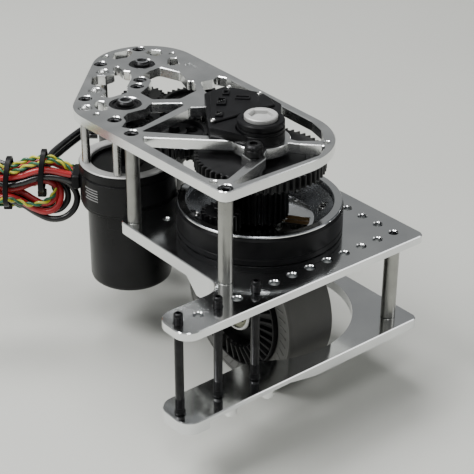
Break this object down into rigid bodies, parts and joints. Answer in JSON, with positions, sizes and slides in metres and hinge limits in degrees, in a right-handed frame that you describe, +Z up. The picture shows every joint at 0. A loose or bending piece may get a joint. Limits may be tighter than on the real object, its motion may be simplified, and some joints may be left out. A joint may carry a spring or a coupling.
{
  "type": "steerable driven wheel module",
  "caption": "Steerable driven wheel module with two motors, spur and bevel gear trains, turntable, three machined plates and folded leads.",
  "frame": {"origin": "middle of the front flange's underside, where it sits on the robot frame's tube, at the seventh and eighth holes' midpoint", "axes": "+X along the front row of holes, +Y towards the motors, +Z up along the steering axis"},
  "size_m": [0.2068, 0.2423, 0.1661],
  "materials": {
    "machined_aluminium": "machined and lightly polished",
    "black_anodised": "satin black anodised",
    "black_steel": "black oxide",
    "bright_steel": "turned",
    "grey_rubber": "smooth grey tread",
    "black_plastic": "moulded",
    "red_lead": "silicone sleeve",
    "black_lead": "silicone sleeve"
  },
  "bodies": {
    "frame": {"middle_plate": "machined_aluminium", "lower_plate": "machined_aluminium", "upper_plate": "machined_aluminium", "flange_rod_1": "black_steel", "flange_rod_2": "black_steel", "flange_rod_3": "black_steel", "corner_standoff": "machined_aluminium", "near_standoff": "machined_aluminium", "left_standoff": "machined_aluminium", "back_standoff": "machined_aluminium", "near_standoff_screw": "black_steel", "left_standoff_screw": "black_steel", "motor_1_housing": "black_anodised", "motor_1_can": "black_anodised", "motor_1_shaft_bearing": "black_steel", "motor_1_outlet": "black_plastic", "motor_1_post_1": "bright_steel", "motor_1_post_2": "bright_steel", "motor_1_post_3": "bright_steel", "motor_2_housing": "black_anodised", "motor_2_can": "black_anodised", "motor_2_shaft_bearing": "black_steel", "motor_2_post_1": "bright_steel", "motor_2_post_2": "bright_steel", "motor_2_post_3": "bright_steel", "drive_idler_axle": "black_steel", "steering_idler_axle": "black_steel", "encoder_barrel": "black_plastic", "encoder_cap": "machined_aluminium", "encoder_body": "black_plastic", "azimuth_housing": "black_anodised", "azimuth_bearing": "bright_steel", "lead_bundle": "red_lead", "lead_connector": "black_plastic", "motor_2_leads": "black_lead"},
    "turntable": {"turntable": "machined_aluminium", "azimuth_gear": "black_steel", "encoder_shaft": "bright_steel", "left_fork_leg": "machined_aluminium", "right_fork_leg": "machined_aluminium", "axle": "bright_steel", "bevel_shaft_bearing": "bright_steel"},
    "wheel": {"tyre": "grey_rubber", "wheel_core": "black_plastic", "wheel_bearing_left": "bright_steel", "wheel_bearing_right": "bright_steel", "bevel_gear": "black_steel"},
    "bevel_shaft": {"bevel_pinion": "black_steel", "transfer_gear": "black_steel"},
    "centre_gears": {"centre_gear": "black_steel", "tall_gear": "black_steel"},
    "drive_idler": {"drive_idler_gear": "black_steel"},
    "motor_1_rotor": {"motor_1_shaft": "black_steel", "motor_1_pinion": "black_steel"},
    "steering_shaft": {"steering_shaft": "bright_steel", "steering_gear": "black_steel", "steering_pinion": "black_steel"},
    "steering_idler": {"steering_idler_gear": "black_steel"},
    "motor_2_rotor": {"motor_2_shaft": "black_steel", "motor_2_pinion": "black_steel"}
  },
  "joints": [
    {"name": "azimuth", "type": "hinge", "parent": "frame", "child": "turntable", "pos_m": [0.01588, 0.05398, 0.00476], "axis": [0, 0, 1], "continuous": true},
    {"name": "wheel_spin", "type": "hinge", "parent": "turntable", "child": "wheel", "pos_m": [0.01588, 0.05398, -0.04431], "axis": [1, 0, 0], "continuous": true},
    {"name": "bevel_spin", "type": "hinge", "parent": "turntable", "child": "bevel_shaft", "pos_m": [-0.01232, 0.05398, 0.00476], "axis": [0, 0, 1], "continuous": true},
    {"name": "centre_spin", "type": "hinge", "parent": "frame", "child": "centre_gears", "pos_m": [0.01588, 0.05398, 0.00476], "axis": [0, 0, 1], "continuous": true},
    {"name": "drive_idler_spin", "type": "hinge", "parent": "frame", "child": "drive_idler", "pos_m": [-0.00405, 0.10754, 0.00476], "axis": [0, 0, 1], "continuous": true},
    {"name": "motor_1_spin", "type": "hinge", "parent": "frame", "child": "motor_1_rotor", "pos_m": [-0.01578, 0.13908, 0.00476], "axis": [0, 0, 1], "continuous": true},
    {"name": "steering_shaft_spin", "type": "hinge", "parent": "frame", "child": "steering_shaft", "pos_m": [0.0229, 0.11261, 0.00476], "axis": [0, 0, 1], "continuous": true},
    {"name": "steering_idler_spin", "type": "hinge", "parent": "frame", "child": "steering_idler", "pos_m": [0.04842, 0.15432, 0.00476], "axis": [0, 0, 1], "continuous": true},
    {"name": "motor_2_spin", "type": "hinge", "parent": "frame", "child": "motor_2_rotor", "pos_m": [0.02845, 0.1845, 0.00476], "axis": [0, 0, 1], "continuous": true}
  ],
  "couplings": [
    {"joint": "bevel_spin", "follows": "wheel_spin", "ratio": -3.6},
    {"joint": "centre_spin", "follows": "wheel_spin", "ratio": 2.4923},
    {"joint": "drive_idler_spin", "follows": "wheel_spin", "ratio": -4.3049},
    {"joint": "motor_1_spin", "follows": "wheel_spin", "ratio": 7.1031},
    {"joint": "steering_shaft_spin", "follows": "azimuth", "ratio": -2},
    {"joint": "steering_idler_spin", "follows": "azimuth", "ratio": 2.1622},
    {"joint": "motor_2_spin", "follows": "azimuth", "ratio": -4}
  ]
}
